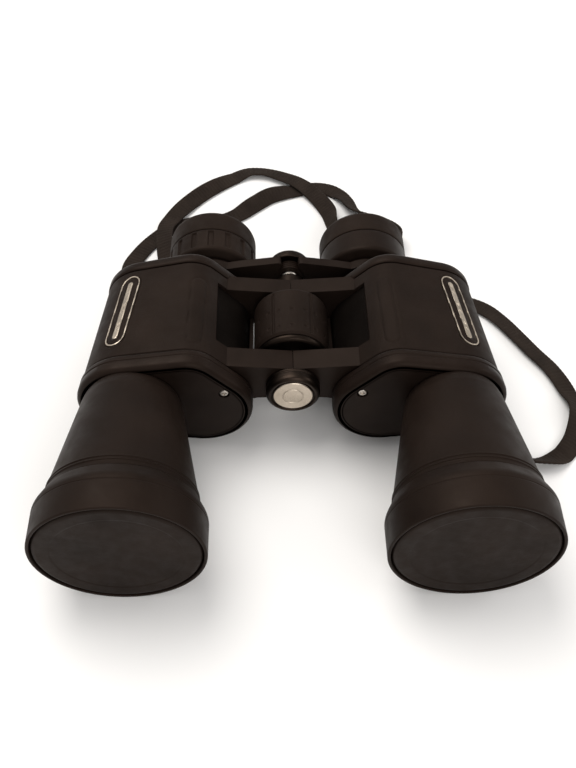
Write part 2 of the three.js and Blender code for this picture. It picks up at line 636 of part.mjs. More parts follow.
add('strap_loop_run', band(LOOP_RUN, 36), 'webbing');
add('strap_long_run', band(LONG_RUN, 84), 'webbing');

export default object;
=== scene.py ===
# Porro-prism binoculars with a neck strap, lying on a pale table: the detailed visual model.
# Shapes are worked out in millimetres in the part's own frame and turned into metres in mesh_object.
import math

import bmesh
import bpy
from mathutils import Matrix, Vector


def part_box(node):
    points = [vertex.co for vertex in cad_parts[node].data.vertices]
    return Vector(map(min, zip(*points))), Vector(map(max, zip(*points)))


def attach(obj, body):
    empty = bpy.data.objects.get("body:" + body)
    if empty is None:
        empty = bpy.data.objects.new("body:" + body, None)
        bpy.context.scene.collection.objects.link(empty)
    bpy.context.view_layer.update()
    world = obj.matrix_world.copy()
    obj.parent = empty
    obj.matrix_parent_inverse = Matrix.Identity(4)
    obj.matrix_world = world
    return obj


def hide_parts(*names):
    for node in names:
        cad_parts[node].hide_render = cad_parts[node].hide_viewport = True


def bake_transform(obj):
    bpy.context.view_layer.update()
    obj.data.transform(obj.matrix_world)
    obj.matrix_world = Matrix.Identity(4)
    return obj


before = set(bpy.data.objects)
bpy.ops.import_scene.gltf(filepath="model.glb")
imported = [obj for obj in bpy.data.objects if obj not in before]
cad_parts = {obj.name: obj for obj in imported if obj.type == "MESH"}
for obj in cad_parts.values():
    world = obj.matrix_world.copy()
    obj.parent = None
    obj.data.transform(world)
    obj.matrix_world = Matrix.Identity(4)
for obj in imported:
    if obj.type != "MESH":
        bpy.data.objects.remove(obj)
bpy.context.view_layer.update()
MM = 0.001
SIDES = {"left": -1, "right": 1}


def node_box(node):
    """A CAD node's lowest and highest corners, in millimetres."""
    low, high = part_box(node)
    return Vector(low) / MM, Vector(high) / MM


def axis_of(node):
    """The x and z of the line along Y that a turned node is centred on."""
    low, high = node_box(node)
    return ((low.x + high.x) / 2, (low.z + high.z) / 2)


# ------------------------------------------------------------------ sizes read from the frame
RING_LOW, RING_HIGH = node_box("right_objective_ring")
RING_R = (RING_HIGH.z - RING_LOW.z) / 2
FRONT = RING_LOW.y
TUBE_LOW, TUBE_HIGH = node_box("right_objective_tube")
OBJECTIVE = axis_of("right_objective_ring")
EYE = axis_of("right_eyecup")
EYECUP_LOW, EYECUP_HIGH = node_box("right_eyecup")
EYECUP_R = (EYECUP_HIGH.z - EYECUP_LOW.z) / 2
BACK = EYECUP_HIGH.y
HINGE_Z = axis_of("focus_wheel_core")[1]
HINGE = (0, HINGE_Z)
COVER_FRONT = node_box("right_front_cover")[0].y
ARMOUR_FRONT, ARMOUR_BACK = node_box("right_armour")[0].y, node_box("right_armour")[1].y + 0.3
COVER_BACK = node_box("right_rear_cover")[1].y
WHEEL_FRONT, WHEEL_BACK = node_box("focus_wheel_core")[0].y, node_box("focus_wheel_core")[1].y
BRIDGE_FRONT, BRIDGE_BACK = node_box("bridge_left_arm")[0].y, node_box("bridge_left_arm")[1].y
GAP = 0.3

# The body section is wrapped round three circles, as in the part: [distance out, height, radius].
SECTION_FRONT = [[66.8, 30, 21], [37.6, 25.5, 20.4], [43, 40.5, 14]]
SECTION_BACK = [[61.8, 31.3, 18], [35.9, 24, 19.8], [43, 40.2, 13.6]]
FRONT_ARM = (-9, 1)
REAR_ARM = (34.2, 42.4)
KNUCKLE_R = 8.4
AXLE_R = 6
WHEEL_R = 16


# ------------------------------------------------------------------ camera
# The view's pitch, yaw and roll, with the camera's place and focal length in pixels.
CAMERA_AT = Vector((-0.0131, -0.2581, 0.3368))
PITCH = math.radians(50.73)
YAW = math.radians(2.56)
ROLL = math.radians(1.767)
FOCAL_PX = 950


def make_camera():
    forward = Vector((
        math.sin(YAW) * math.cos(PITCH),
        math.cos(YAW) * math.cos(PITCH),
        -math.sin(PITCH),
    ))
    right = Vector((math.cos(YAW), -math.sin(YAW), 0))
    up = right.cross(forward)
    right, up = (
        math.cos(ROLL) * right + math.sin(ROLL) * up,
        math.cos(ROLL) * up - math.sin(ROLL) * right,
    )
    data = bpy.data.cameras.new("camera")
    data.sensor_fit = "VERTICAL"
    data.sensor_height = 36
    data.lens = FOCAL_PX * data.sensor_height / 768
    data.clip_start = 0.01
    camera = bpy.data.objects.new("camera", data)
    camera.matrix_world = Matrix.Translation(CAMERA_AT) @ Matrix(
        [[right[i], up[i], -forward[i]] for i in range(3)]
    ).to_4x4()
    bpy.context.collection.objects.link(camera)
    bpy.context.scene.camera = camera


make_camera()


# ------------------------------------------------------------------ materials
class Nodes:
    """A few shorthands for building one node material."""

    def __init__(self, name):
        self.material = bpy.data.materials.new(name)
        self.material.use_nodes = True
        self.tree = self.material.node_tree
        self.shader = self.tree.nodes["Principled BSDF"]

    def new(self, kind, **inputs):
        node = self.tree.nodes.new(kind)
        for key, value in inputs.items():
            node.inputs[key.replace("_", " ")].default_value = value
        return node

    def link(self, source, target):
        self.tree.links.new(source, target)

    def coordinates(self, stretch=(1, 1, 1)):
        place = self.new("ShaderNodeTexCoord")
        mapping = self.new("ShaderNodeMapping")
        mapping.inputs["Scale"].default_value = stretch
        self.link(place.outputs["Object"], mapping.inputs["Vector"])
        return mapping.outputs["Vector"]

    def noise(self, scale, detail=4, stretch=(1, 1, 1)):
        texture = self.new("ShaderNodeTexNoise", Scale=scale, Detail=detail)
        self.link(self.coordinates(stretch), texture.inputs["Vector"])
        return texture.outputs["Fac"]

    def cells(self, scale):
        texture = self.new("ShaderNodeTexVoronoi", Scale=scale)
        self.link(self.coordinates(), texture.inputs["Vector"])
        return texture.outputs["Distance"]

    def ramp(self, factor, stops):
        node = self.tree.nodes.new("ShaderNodeValToRGB")
        elements = node.color_ramp.elements
        while len(elements) < len(stops):
            elements.new(0.5)
        for element, (position, colour) in zip(elements, stops):
            element.position = position
            element.color = (*colour, 1)
        self.link(factor, node.inputs["Fac"])
        return node.outputs["Color"]

    def spread(self, factor, low, high):
        """Turns a 0 to 1 factor into a value between low and high."""
        node = self.new("ShaderNodeMapRange")
        node.inputs["From Min"].default_value = 0.3
        node.inputs["From Max"].default_value = 0.7
        node.inputs["To Min"].default_value = low
        node.inputs["To Max"].default_value = high
        self.link(factor, node.inputs["Value"])
        return node.outputs["Result"]

    def bump(self, height, depth_mm, strength=1.0, below=None):
        node = self.new("ShaderNodeBump", Strength=strength, Distance=depth_mm * MM)
        self.link(height, node.inputs["Height"])
        if below is not None:
            self.link(below, node.inputs["Normal"])
        return node.outputs["Normal"]

    def set(self, **values):
        for key, value in values.items():
            self.shader.inputs[key.replace("_", " ")].default_value = value


# The dark plastics and paints shine a little brown.
WARM = (1, 0.78, 0.65, 1)


def mottled(name, dark, light, roughness, grain, coarse=60, specular=0.5):
    """A moulded or painted surface: two close colours in soft patches, with a fine grained bump.
    grain is [cells per metre, depth in mm]."""
    n = Nodes(name)
    patches = n.noise(coarse, 6)
    n.link(n.ramp(patches, [(0.3, dark), (0.72, light)]), n.shader.inputs["Base Color"])
    n.link(n.spread(n.noise(coarse * 4, 5), *roughness), n.shader.inputs["Roughness"])
    fine = n.bump(n.noise(grain[0], 3), grain[1], 0.8)
    n.link(n.bump(n.cells(grain[0] * 0.6), grain[1] * 0.7, 0.5, fine), n.shader.inputs["Normal"])
    n.set(Specular_IOR_Level=specular, Specular_Tint=WARM)
    return n.material


def brushed(name, dark, light, roughness, stretch):
    """Machined metal with fine lines across the stretched axis."""
    n = Nodes(name)
    lines = n.noise(900, 4, stretch)
    tone = n.noise(90, 5)
    n.link(n.ramp(tone, [(0.3, dark), (0.7, light)]), n.shader.inputs["Base Color"])
    n.link(n.spread(lines, *roughness), n.shader.inputs["Roughness"])
    n.link(n.bump(lines, 0.02, 0.5), n.shader.inputs["Normal"])
    n.set(Metallic=1.0)
    return n.material


def coated_glass(name, tint, coat):
    """Polished lens glass with a coloured coating and faint wiping marks."""
    n = Nodes(name)
    n.link(n.spread(n.noise(160, 5), 0.02, 0.06), n.shader.inputs["Roughness"])
    n.link(n.ramp(n.noise(40, 3), [(0.2, tint), (0.8, coat)]), n.shader.inputs["Base Color"])
    n.set(Transmission_Weight=0.85, IOR=1.52, Coat_Weight=0.6, Coat_Roughness=0.04)
    n.shader.inputs["Coat Tint"].default_value = (*coat, 1)
    return n.material


def webbing_material():
    """Woven polyester: U runs along the strap and V across it, both in metres."""
    n = Nodes("webbing")
    uv = n.new("ShaderNodeTexCoord").outputs["UV"]
    waves = []
    for direction, scale in (("X", 560), ("Y", 900)):
        wave = n.new("ShaderNodeTexWave", Scale=scale, Distortion=0.6, Detail=2)
        wave.bands_direction = direction
        n.link(uv, wave.inputs["Vector"])
        waves.append(wave.outputs["Fac"])
    threads = n.new("ShaderNodeMath")
    threads.operation = "MULTIPLY"
    n.link(waves[0], threads.inputs[0])
    n.link(waves[1], threads.inputs[1])
    patches = n.noise(120, 5)
    colour = n.ramp(threads.outputs[0], [(0.0, (0.007, 0.005, 0.0042)), (1.0, (0.032, 0.024, 0.0195))])
    worn = n.new("ShaderNodeMix")
    worn.data_type = "RGBA"
    n.link(n.spread(patches, 0.0, 0.35), worn.inputs["Factor"])
    n.link(colour, worn.inputs[6])
    worn.inputs[7].default_value = (0.05, 0.038, 0.031, 1)
    n.link(worn.outputs[2], n.shader.inputs["Base Color"])
    n.link(n.spread(patches, 0.75, 0.95), n.shader.inputs["Roughness"])
    n.link(n.bump(threads.outputs[0], 0.12, 0.9, n.bump(n.noise(3000, 2), 0.05)), n.shader.inputs["Normal"])
    n.set(Specular_IOR_Level=0.15, Specular_Tint=WARM)
    return n.material


# How strongly the dark plastics and paints shine.
DULL = 0.09

PAINT = mottled(
    "satin_paint", (0.0078, 0.0049, 0.0038), (0.0135, 0.0087, 0.0067), (0.36, 0.5), (2600, 0.02),
    specular=DULL,
)
TUBE_PAINT = mottled(
    "tube_paint", (0.0076, 0.0048, 0.0037), (0.0145, 0.0094, 0.0072), (0.42, 0.6), (1800, 0.03), coarse=36,
    specular=DULL,
)
RUBBER = mottled(
    "armour_rubber", (0.0082, 0.0053, 0.0041), (0.0135, 0.0088, 0.0068), (0.5, 0.66), (1500, 0.05),
    specular=DULL,
)
SOFT_RUBBER = mottled(
    "eyecup_rubber", (0.0095, 0.0062, 0.0048), (0.0165, 0.0108, 0.0083), (0.5, 0.7), (2200, 0.03),
    specular=DULL,
)
CAP_PLASTIC = mottled(
    "cap_plastic", (0.0082, 0.0053, 0.0041), (0.0142, 0.0094, 0.0073), (0.45, 0.62), (1300, 0.035),
    specular=DULL,
)
ANODISED = brushed("anodised", (0.016, 0.0115, 0.009), (0.03, 0.0215, 0.0168), (0.3, 0.45), (1, 12, 1))
SILVER = brushed("badge_silver", (0.42, 0.36, 0.29), (0.6, 0.52, 0.43), (0.25, 0.42), (1, 10, 1))
STEEL = brushed("turned_steel", (0.38, 0.35, 0.31), (0.55, 0.5, 0.45), (0.18, 0.35), (1, 20, 1))
BRASS = brushed("brass", (0.45, 0.31, 0.12), (0.6, 0.44, 0.2), (0.2, 0.4), (1, 15, 1))
# Near-black metal: the real blackening of the lens cells, retainers and prism shelves, and on the bare
# casting between the hinge arms a colour darkened to stand in for the shade in that recess (painted shade).
BLACK_AND_PAINTED_SHADE = mottled(
    "blackened_metal_and_painted_shade", (0.0026, 0.002, 0.0017), (0.0052, 0.004, 0.0034), (0.6, 0.8), (1500, 0.03),
    specular=0.04,
)
LENS = coated_glass("coated_lens", (0.10, 0.16, 0.15), (0.20, 0.10, 0.26))
PRISM_GLASS = coated_glass("prism_glass", (0.5, 0.6, 0.58), (0.4, 0.5, 0.5))
WEBBING = webbing_material()


# ------------------------------------------------------------------ mesh helpers
def mesh_object(name, points, faces, material, sharp=35, uvs=None):
    """An object from points in millimetres, smooth except where faces meet at more than sharp degrees."""
    mesh = bpy.data.meshes.new(name)
    mesh.from_pydata([Vector(p) * MM for p in points], [], faces)
    obj = bpy.data.objects.new(name, mesh)
    bpy.context.collection.objects.link(obj)
    mesh.materials.append(material)
    if uvs is not None:
        layer = mesh.uv_layers.new(name="along")
        for loop in mesh.loops:
            layer.data[loop.index].uv = uvs[loop.vertex_index]
    tidy(obj, sharp)
    return obj


def tidy(obj, sharp=35):
    """Welds doubles, turns the faces outwards and marks the sharp edges."""
    bm = bmesh.new()
    bm.from_mesh(obj.data)
    bmesh.ops.remove_doubles(bm, verts=bm.verts, dist=1e-7)
    bmesh.ops.dissolve_degenerate(bm, edges=bm.edges, dist=1e-7)
    bmesh.ops.recalc_face_normals(bm, faces=bm.faces)
    for face in bm.faces:
        face.smooth = True
    for edge in bm.edges:
        if len(edge.link_faces) == 2:
            edge.smooth = edge.calc_face_angle(0) < math.radians(sharp)
    bm.to_mesh(obj.data)
    bm.free()


def softened(profile, radius, closed, steps=4):
    """The profile with each corner turned into a small curve of about that radius."""
    count = len(profile)
    result = []
    for i, corner in enumerate(profile):
        if not closed and i in (0, count - 1):
            result.append(corner)
            continue
        before, after = Vector(profile[i - 1]), Vector(profile[(i + 1) % count])
        at = Vector(corner)
        back, ahead = before - at, after - at
        reach = min(radius, back.length * 0.45, ahead.length * 0.45)
        start, end = at + back.normalized() * reach, at + ahead.normalized() * reach
        for k in range(steps + 1):
            t = k / steps
            point = start.lerp(at, t).lerp(at.lerp(end, t), t)
            result.append((point.x, point.y))
    return result


def turned(name, profile, centre, material, radius=0.3, steps=112, shape=None, sharp=40):
    """A profile of (radius, y) turned about a line along Y. shape(angle, r, y) may change the radius."""
    closed = profile[0][0] > 1e-6
    line = softened(profile, radius, closed)
    points, faces = [], []
    for k in range(steps):
        angle = 2 * math.pi * k / steps
        for r, y in line:
            reach = shape(angle, r, y) if shape else r
            points.append((centre[0] + reach * math.sin(angle), y, centre[1] + reach * math.cos(angle)))
    size = len(line)
    spans = size if closed else size - 1
    for k in range(steps):
        here, there = k * size, ((k + 1) % steps) * size
        for i in range(spans):
            j = (i + 1) % size
            faces.append((here + i, here + j, there + j, there + i))
    return mesh_object(name, points, faces, material, sharp)


def slab(name, outline, y0, y1, material, bevel=0.5):
    """A closed outline of (x, z) points made thick along Y, with bevelled edges."""
    bm = bmesh.new()
    face = bm.faces.new([bm.verts.new(Vector((x, y0, z)) * MM) for x, z in outline])
    extruded = bmesh.ops.extrude_face_region(bm, geom=[face])
    moved = [item for item in extruded["geom"] if isinstance(item, bmesh.types.BMVert)]
    bmesh.ops.translate(bm, vec=(0, (y1 - y0) * MM, 0), verts=moved)
    bmesh.ops.recalc_face_normals(bm, faces=bm.faces)
    mesh = bpy.data.meshes.new(name)
    bm.to_mesh(mesh)
    bm.free()
    obj = bpy.data.objects.new(name, mesh)
    bpy.context.collection.objects.link(obj)
    mesh.materials.append(material)
    if bevel:
        bevelled(obj, bevel)
    return obj


def settle(obj):
    """Applies an object's modifiers to its mesh."""
    graph = bpy.context.evaluated_depsgraph_get()
    mesh = bpy.data.meshes.new_from_object(obj.evaluated_get(graph))
    obj.modifiers.clear()
    obj.data = mesh


def bevelled(obj, width, segments=3, angle=32):
    modifier = obj.modifiers.new("bevel", "BEVEL")
    modifier.width = width * MM
    modifier.segments = segments
    modifier.limit_method = "ANGLE"
    modifier.angle_limit = math.radians(angle)
    modifier.harden_normals = False
    settle(obj)
    tidy(obj)


def combine(obj, others, operation):
    """Joins others to obj, or cuts them from it, and removes them."""
    for other in others:
        modifier = obj.modifiers.new("combine", "BOOLEAN")
        modifier.operation = operation
        modifier.object = other
        modifier.solver = "EXACT"
        settle(obj)
        bpy.data.objects.remove(other)
    return obj


def rod(centre, radius, y0, y1, steps=72):
    """A plain round tool for combine."""
    return turned("tool", [(0, y0), (radius, y0), (radius, y1), (0, y1)], centre, PAINT, 0, steps)


def block(low, high):
    """A plain square tool for combine."""
    outline = [(low[0], low[2]), (high[0], low[2]), (high[0], high[2]), (low[0], high[2])]
    return slab("tool", outline, low[1], high[1], PAINT, 0)


def place(obj, body, slot, *nodes):
    """Rides on a body and stands for CAD nodes; slot is not used."""
    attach(obj, body)
    if nodes:
        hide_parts(*nodes)
    return obj


# ------------------------------------------------------------------ neck strap
STRAP_W = 9
STRAP_T = 1.4
RIB_PITCH = 1.9
LEFT_RUN = [
    (-77, 39, 4.8, 0), (-73, 39, 1.8, 0), (-68.5, 39.8, 0.4, 0), (-64.5, 44, 0.2, 0), (-63, 53, 0.2, 0),
    (-65.5, 64, 0.2, 0), (-71.5, 75, 0.2, 0), (-77.5, 84, 0.2, 0), (-78.5, 93, 0.2, 0),
    (-74.5, 103, 0.2, 0), (-68.5, 112.5, 0.2, 0), (-60.5, 121, 0.2, 0), (-50, 126, 0.2, 0),
    (-38, 127, 0.2, 0), (-26, 131.5, 0.2, 8), (-16, 138.5, 0.2, 40), (-7, 146.5, 0.2, 30), (8, 153, 0.2, 0),
    (19, 155, 0.2, 0), (28, 151, 0.2, 0), (33, 144, 0.2, -20), (36.5, 135, 0.2, -35), (44, 128, 0.2, -55),
    (52.5, 122.5, 0.2, -70),
]
LOOP_RUN = [
    (53.3, 121.9, 0.2, -71), (59.5, 113, 0.2, -88), (56, 102.8, 0.2, -90), (45.5, 98.3, 0.2, -90),
    (34.5, 101.5, 0.2, -90), (27.5, 110.5, 0.2, -80), (24.5, 122, 0.2, -60), (23, 133, 0.2, -35),
    (17.5, 145, 1.1, -12), (9, 155.5, 2.6, 0), (-2, 164, 0.8, 8), (-10, 167.4, 0.2, 15),
    (-16, 168, 0.2, 15),
]
LONG_RUN = [
    (-17.4, 168, 0.2, 15), (-20, 167.5, 0.2, 12), (-27, 163.5, 0.2, 0), (-38, 154.5, 0.2, -20),
    (-48.5, 143.5, 0.2, -25), (-57, 132, 1.5, -8), (-62, 120.5, 2.9, 8), (-62.6, 110, 2.4, 22),
    (-61, 97, 0.4, 25), (-57, 84, 0.2, 0), (-51.5, 58, 0.2, 0), (-42, 36, 0.2, 0), (-20, 22, 0.2, 0),
    (8, 15, 0.2, 0), (34, 9, 0.2, 0), (58, -5, 0.2, 0), (80, -20, 0.2, 0), (98, -28.5, 0.2, -50),
    (108, -28.8, 0.2, -40), (114, -26.5, 0.2, -15), (119.3, -22.3, 0.2, 5), (125, -13.5, 0.2, 10),
    (127.6, -1, 0.2, 35), (126.2, 11, 0.2, 12), (121.8, 23.6, 0.2, 12), (114.9, 34.8, 0.2, 12),
    (108.7, 45.6, 0.2, 12), (103, 54.8, 0.2, 10), (96.5, 62.5, 0.2, 5), (88, 67, 0.2, 0), (78, 67, 0.2, 0),
    (69, 62, 0.2, 0), (64, 53, 0.2, 0), (64.5, 44.5, 0.2, 0), (68.5, 39.8, 0.4, 0), (73, 39, 1.8, 0),
    (77, 39, 4.8, 0),
]


def smooth_route(points, spacing):
    """Points every spacing along a centripetal Catmull-Rom curve through (x, y, lift, roll) points."""
    dense = []
    ends = [2 * points[0] - points[1]] + points + [2 * points[-1] - points[-2]]
    for i in range(len(points) - 1):
        p = ends[i:i + 4]
        knots = [0.0]
        for a, b in zip(p, p[1:]):
            knots.append(knots[-1] + math.sqrt((b.xyz - a.xyz).length))
        for k in range(24):
            t = knots[1] + (knots[2] - knots[1]) * k / 24

            def mix(a, b, ta, tb):
                return a * ((tb - t) / (tb - ta)) + b * ((t - ta) / (tb - ta))

            a1 = mix(p[0], p[1], knots[0], knots[1])
            a2 = mix(p[1], p[2], knots[1], knots[2])
            a3 = mix(p[2], p[3], knots[2], knots[3])
            b1 = mix(a1, a2, knots[0], knots[2])
            b2 = mix(a2, a3, knots[1], knots[3])
            dense.append(mix(b1, b2, knots[1], knots[2]))
    dense.append(points[-1].copy())
    lengths = [0.0]
    for a, b in zip(dense, dense[1:]):
        lengths.append(lengths[-1] + (b.xyz - a.xyz).length)
    count = round(lengths[-1] / spacing)
    result, j = [], 0
    for i in range(count + 1):
        want = lengths[-1] * i / count
        while j < len(dense) - 2 and lengths[j + 1] < want:
            j += 1
        part = (want - lengths[j]) / max(lengths[j + 1] - lengths[j], 1e-9)
        result.append(dense[j].lerp(dense[j + 1], part))
    return result


def edge_height(roll):
    turn = math.radians(roll)
    return (STRAP_W * abs(math.sin(turn)) + STRAP_T * abs(math.cos(turn))) / 2


def strap_section(along_mm):
    """The band's outline, (across, thickness), swelling at each woven rib."""
    w = STRAP_W / 2
    rib = 0.5 + 0.5 * math.cos(2 * math.pi * along_mm / RIB_PITCH)
    h = STRAP_T / 2 - 0.16 + 0.16 * rib
    top = [(w, h * 0.25), (w - 0.2, h * 0.7), (w - 0.7, h * 0.96), (w / 2, h), (0, h), (-w / 2, h)]
    top += [(0.7 - w, h * 0.96), (0.2 - w, h * 0.7), (-w, h * 0.25)]
    return top + [(-a, -b) for a, b in top]


def strap_mesh(name, places, widths, done=0):
    """A ribbed band through places, in mm, as wide as STRAP_W along widths. done counts the points before."""
    points, faces, uvs = [], [], []
    run = done * RIB_PITCH / 5
    for i, at in enumerate(places):
        if i:
            run += (at - places[i - 1]).length
        along = (places[min(i + 1, len(places) - 1)] - places[max(i - 1, 0)]).normalized()
        wide = (widths[i] - along * widths[i].dot(along)).normalized()
        deep = along.cross(wide)
        for a, b in strap_section(run):
            points.append(at + wide * a + deep * b)
            uvs.append((run * MM, a * MM))
    size = len(strap_section(0))
    for i in range(len(places) - 1):
        for j in range(size):
            k = (j + 1) % size
            faces.append((i * size + j, i * size + k, (i + 1) * size + k, (i + 1) * size + j))
    faces.append(tuple(range(size)))
    faces.append(tuple(range((len(places) - 1) * size, len(places) * size)))
    return mesh_object(name, points, faces, WEBBING, 60, uvs)


def strap_places():
    """The strap's middle line from lug to lug, and the direction of its width at each point."""
    route = [Vector(point) for point in LEFT_RUN + LOOP_RUN[1:] + LONG_RUN[1:]]
    line = smooth_route(route, RIB_PITCH / 5)
    places = [Vector((p.x, p.y, max(p.z, 0.2) + edge_height(p.w))) for p in line]
    widths = []
    for i, p in enumerate(line):
        along = (places[min(i + 1, len(places) - 1)] - places[max(i - 1, 0)]).normalized()
        level = Vector((0, 0, 1)).cross(along).normalized()
        turn = math.radians(p.w)
        widths.append(level * math.cos(turn) + along.cross(level) * math.sin(turn))
    return places, widths


def make_strap():
    """One band in two pieces: the first rides on the left half, the second is left unattached."""
    places, widths = strap_places()
    turning = Vector(LONG_RUN[-9][:2])
    cut = min(range(len(places)), key=lambda i: (places[i].xy - turning).length)
    first = strap_mesh("neck_strap", places[:cut + 1], widths[:cut + 1])
    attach(first, "left_half")
    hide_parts("strap_left_run", "strap_loop_run", "strap_long_run")
    last = strap_mesh("neck_strap_right_end", places[cut:], widths[cut:], cut)
    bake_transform(last)


make_strap()

# The strap's ends loop round the lugs' bars.
BAR_X, BAR_Z = 81.65, 17.4
END_R = 2.6
LONG_LEG, SHORT_LEG = 12.4, 8
TILT = math.radians(-33)


def make_strap_end(word):
    """The loop round the bar, drawn upright and then tipped so that both legs run down under the body."""
    side = SIDES[word]
    line = [(END_R, -LONG_LEG + LONG_LEG * k / 40) for k in range(40)]
    line += [(END_R * math.cos(a), END_R * math.sin(a)) for a in [math.pi * k / 24 for k in range(25)]]
    line += [(1.2 * k / 26 - END_R, -SHORT_LEG * k / 26) for k in range(1, 27)]
    places = []
    for x, z in line:
        out = x * math.cos(TILT) - z * math.sin(TILT)
        up = x * math.sin(TILT) + z * math.cos(TILT)
        places.append(Vector((side * (BAR_X + out), 39, BAR_Z + up)))
    widths = [Vector((0, 1, 0))] * len(places)
    end = strap_mesh(f"{word}_strap_fold", places, widths)
    place(end, f"{word}_half", "webbing", f"{word}_strap_end")


for word in SIDES:
    make_strap_end(word)


# ------------------------------------------------------------------ body skins
def body_circles(y):
    t = (y - COVER_FRONT) / (COVER_BACK - COVER_FRONT)
    return [
        [a + (b - a) * t for a, b in zip(front, back)]
        for front, back in zip(SECTION_FRONT, SECTION_BACK)
    ]


def belt(y, grow, count=220):
    """Evenly spaced points (x, z, outward normal) on the belt round the body's circles at y."""
    circles = body_circles(y)
    corners = []
    for i in range(720):
        angle = 2 * math.pi * i / 720
        dx, dz = math.cos(angle), math.sin(angle)
        x, z, r = max(circles, key=lambda c: c[0] * dx + c[1] * dz + c[2])
        corners.append((x + (r + grow) * dx, z + (r + grow) * dz, dx, dz))
    corners.append(corners[0])
    lengths = [0.0]
    for a, b in zip(corners, corners[1:]):
        lengths.append(lengths[-1] + math.hypot(b[0] - a[0], b[1] - a[1]))
    ring, j = [], 0
    for i in range(count):
        want = lengths[-1] * i / count
        while lengths[j + 1] < want:
            j += 1
        part = (want - lengths[j]) / max(lengths[j + 1] - lengths[j], 1e-9)
        a, b = corners[j], corners[j + 1]
        ring.append(tuple(a[k] + (b[k] - a[k]) * part for k in range(4)))
    return ring


def body_shell(name, side, stations, thickness, material, lift=None, count=220):
    """A shell round the body through (y, grow) stations. lift(x, y, z) raises the outer skin, in mm."""
    rings = []
    for y, grow in stations:
        ring = []
        for x, z, nx, nz in belt(y, grow, count):
            extra = lift(x, y, z) if lift else 0
            ring.append((side * (x + nx * extra), y, z + nz * extra))
        rings.append(ring)
    for y, _ in reversed(stations):
        rings.append([(side * x, y, z) for x, z, _, _ in belt(y, -thickness, count)])
    points = [p for ring in rings for p in ring]
    faces = []
    total = len(rings)
    for i in range(total):
        for j in range(count):
            k = (j + 1) % count
            m = (i + 1) % total
            faces.append((i * count + j, i * count + k, m * count + k, m * count + j))
    return mesh_object(name, points, faces, material, 38)


def inside(distance, soft=0.45):
    """1 inside an outline and 0 outside it, with a soft edge."""
    t = min(max(0.5 - distance / (2 * soft), 0), 1)
    return t * t * (3 - 2 * t)


def stadium(u, v, half_length, radius):
    """Signed distance from a stadium along u."""
    return math.hypot(max(abs(u) - (half_length - radius), 0), v) - radius


# Between the hinge arms the armour stops at this x and z, and the casting below is bare; its near-black
# colour there is painted shade for that recess.
BARE_FLANK_X, BARE_FLANK_Z = 31.5, 26

# The badge and the thumb panel lie along Y, turned a little as the flank narrows to the back.
BADGE = {"y": 17, "x": 70.4, "slope": -0.128, "half": 20, "radius": 5}
PAD = {"y": 13, "x": 39.4, "slope": -0.03, "half": 18.5, "radius": 3.1}


def flank_place(x, y, z, mark):
    """Distances along and across a mark on the top of the body."""
    u = y - mark["y"]
    v = (x - mark["x"] - mark["slope"] * u) * 1.28 if mark is BADGE else x - mark["x"] - mark["slope"] * u
    return u, v


def armour_lift(x, y, z):
    if z < 30:
        return 0
    u, v = flank_place(x, y, z, PAD)
    edge = abs(stadium(u, v, PAD["half"], PAD["radius"]))
    raised = 0.22 * inside(stadium(u, v, PAD["half"], PAD["radius"]), 0.4) - 0.3 * inside(edge - 0.35, 0.3)
    u, v = flank_place(x, y, z, BADGE)
    recess = -0.5 * inside(stadium(u, v, BADGE["half"] + 0.3, BADGE["radius"] + 0.3), 0.25)
    return raised + recess


def stations_between(y0, y1, grow, pitch=0.55, ease=0.8):
    """Stations with rounded ends: the skin drops by ease at both ends."""
    count = max(2, round((y1 - y0) / pitch))
    result = []
    for i in range(count + 1):
        y = y0 + (y1 - y0) * i / count
        near = min(y - y0, y1 - y)
        drop = ease * (1 - math.sqrt(1 - (1 - near / ease) ** 2)) if near < ease else 0
        result.append((y, grow - drop * 0.7))
    return result


ARM_OUTLINE = [
    (0.15, 9.9), (9, 10.6), (22, 11.6), (35, 12.9), (35, -12), (24, -12), (16, -8.8), (10, -8.4), (5, -7.6),
    (0.15, -7.4),
]


def arm_outline(side, grow=0.0):
    return [
        (side * x, HINGE_Z + z + math.copysign(grow, z))
        for x, z in softened(ARM_OUTLINE, 3, False, 5)
    ]


def make_arm(side, span):
    y0, y1 = span
    middle = (y0 + y1) / 2
    own = (y0, middle - GAP / 2) if side < 0 else (middle + GAP / 2, y1)
    other = (middle - GAP / 2, y1 + 1) if side < 0 else (y0 - 1, middle + GAP / 2)
    arm = slab("arm", arm_outline(side), y0, y1, PAINT, 0)
    combine(arm, [rod(HINGE, KNUCKLE_R + GAP, *other)], "DIFFERENCE")
    combine(arm, [rod(HINGE, KNUCKLE_R, *own)], "UNION")
    combine(arm, [rod(HINGE, AXLE_R + GAP, y0 - 1, y1 + 1)], "DIFFERENCE")
    return arm


